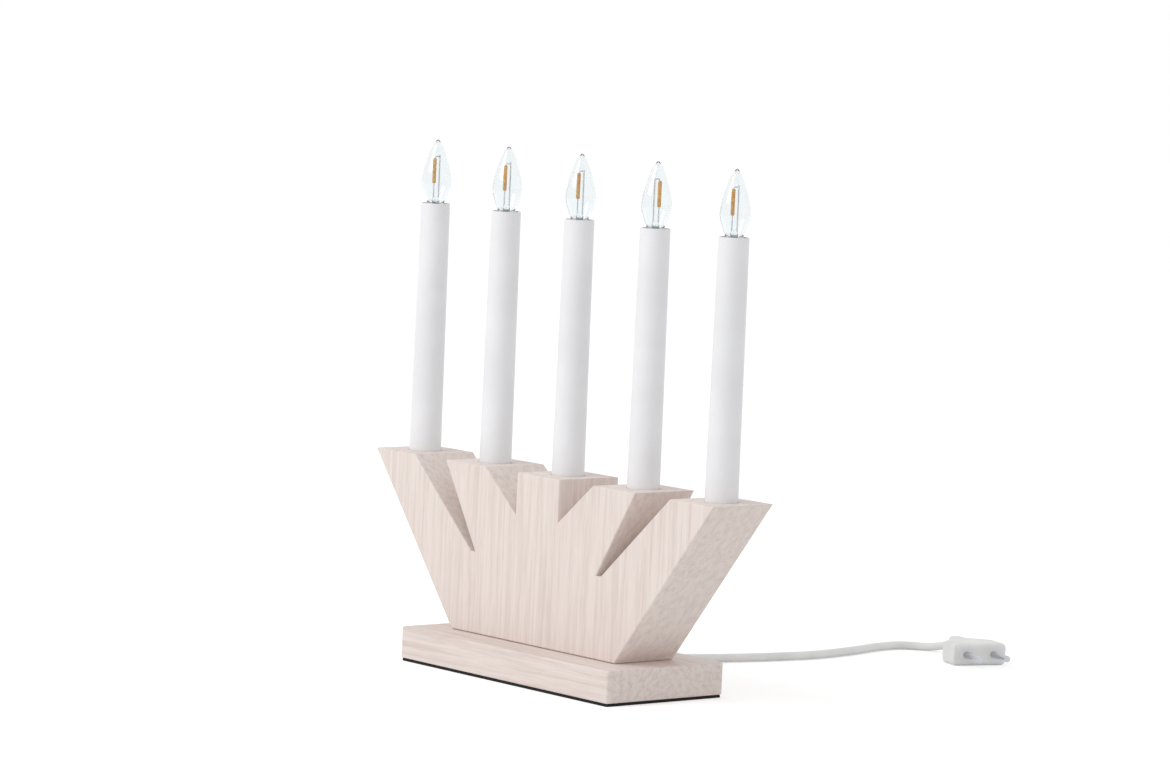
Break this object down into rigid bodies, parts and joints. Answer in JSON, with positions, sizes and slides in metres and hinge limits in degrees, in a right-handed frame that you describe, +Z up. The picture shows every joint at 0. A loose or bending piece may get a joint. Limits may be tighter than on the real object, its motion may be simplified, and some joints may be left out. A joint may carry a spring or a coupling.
{
  "type": "electric advent candle holder",
  "caption": "Fan-shaped wooden block on a flat wooden foot, holding a row of electric candles with screw-in lamps, and a mains lead with its plug.",
  "frame": {"origin": "middle of the foot, on its underside", "axes": "+X along the row of candles, to the right seen from the front; +Y to the back, where the lead leaves; +Z up"},
  "size_m": [0.311, 0.3484, 0.3098],
  "materials": {
    "wood": "whitewashed pine, matt",
    "pad": "black felt",
    "sleeve": "satin white",
    "holder_plastic": "moulded",
    "brass": "rolled",
    "steel": "zinc plated",
    "glass": "clear",
    "filament": "amber phosphor",
    "lead": "smooth white"
  },
  "bodies": {
    "holder": {"base_pad": "pad", "base_plate": "wood", "fan_block": "wood", "block_screw_1": "steel", "block_screw_2": "steel", "lamp_holder_1": "holder_plastic", "contact_1": "brass", "candle_sleeve_1": "sleeve", "lamp_holder_2": "holder_plastic", "contact_2": "brass", "candle_sleeve_2": "sleeve", "lamp_holder_3": "holder_plastic", "contact_3": "brass", "candle_sleeve_3": "sleeve", "lamp_holder_4": "holder_plastic", "contact_4": "brass", "candle_sleeve_4": "sleeve", "lamp_holder_5": "holder_plastic", "contact_5": "brass", "candle_sleeve_5": "sleeve", "cord_lead_in": "lead", "cord_coil": "lead", "cord_run": "lead", "plug_body": "lead", "plug_pin_1": "steel", "plug_pin_2": "steel"},
    "lamp_1": {"bulb_cap_1": "brass", "bulb_glass_1": "glass", "led_filament_1": "filament"},
    "lamp_2": {"bulb_cap_2": "brass", "bulb_glass_2": "glass", "led_filament_2": "filament"},
    "lamp_3": {"bulb_cap_3": "brass", "bulb_glass_3": "glass", "led_filament_3": "filament"},
    "lamp_4": {"bulb_cap_4": "brass", "bulb_glass_4": "glass", "led_filament_4": "filament"},
    "lamp_5": {"bulb_cap_5": "brass", "bulb_glass_5": "glass", "led_filament_5": "filament"}
  },
  "joints": [
    {"name": "lamp_turn_1", "type": "hinge", "parent": "holder", "child": "lamp_1", "pos_m": [-0.1364, 0, 0.25], "axis": [0, 0, 1], "range_deg": [0, 1800]},
    {"name": "lamp_turn_2", "type": "hinge", "parent": "holder", "child": "lamp_2", "pos_m": [-0.0682, 0, 0.25], "axis": [0, 0, 1], "range_deg": [0, 1800]},
    {"name": "lamp_turn_3", "type": "hinge", "parent": "holder", "child": "lamp_3", "pos_m": [0, 0, 0.25], "axis": [0, 0, 1], "range_deg": [0, 1800]},
    {"name": "lamp_turn_4", "type": "hinge", "parent": "holder", "child": "lamp_4", "pos_m": [0.0682, 0, 0.25], "axis": [0, 0, 1], "range_deg": [0, 1800]},
    {"name": "lamp_turn_5", "type": "hinge", "parent": "holder", "child": "lamp_5", "pos_m": [0.1364, 0, 0.25], "axis": [0, 0, 1], "range_deg": [0, 1800]}
  ]
}
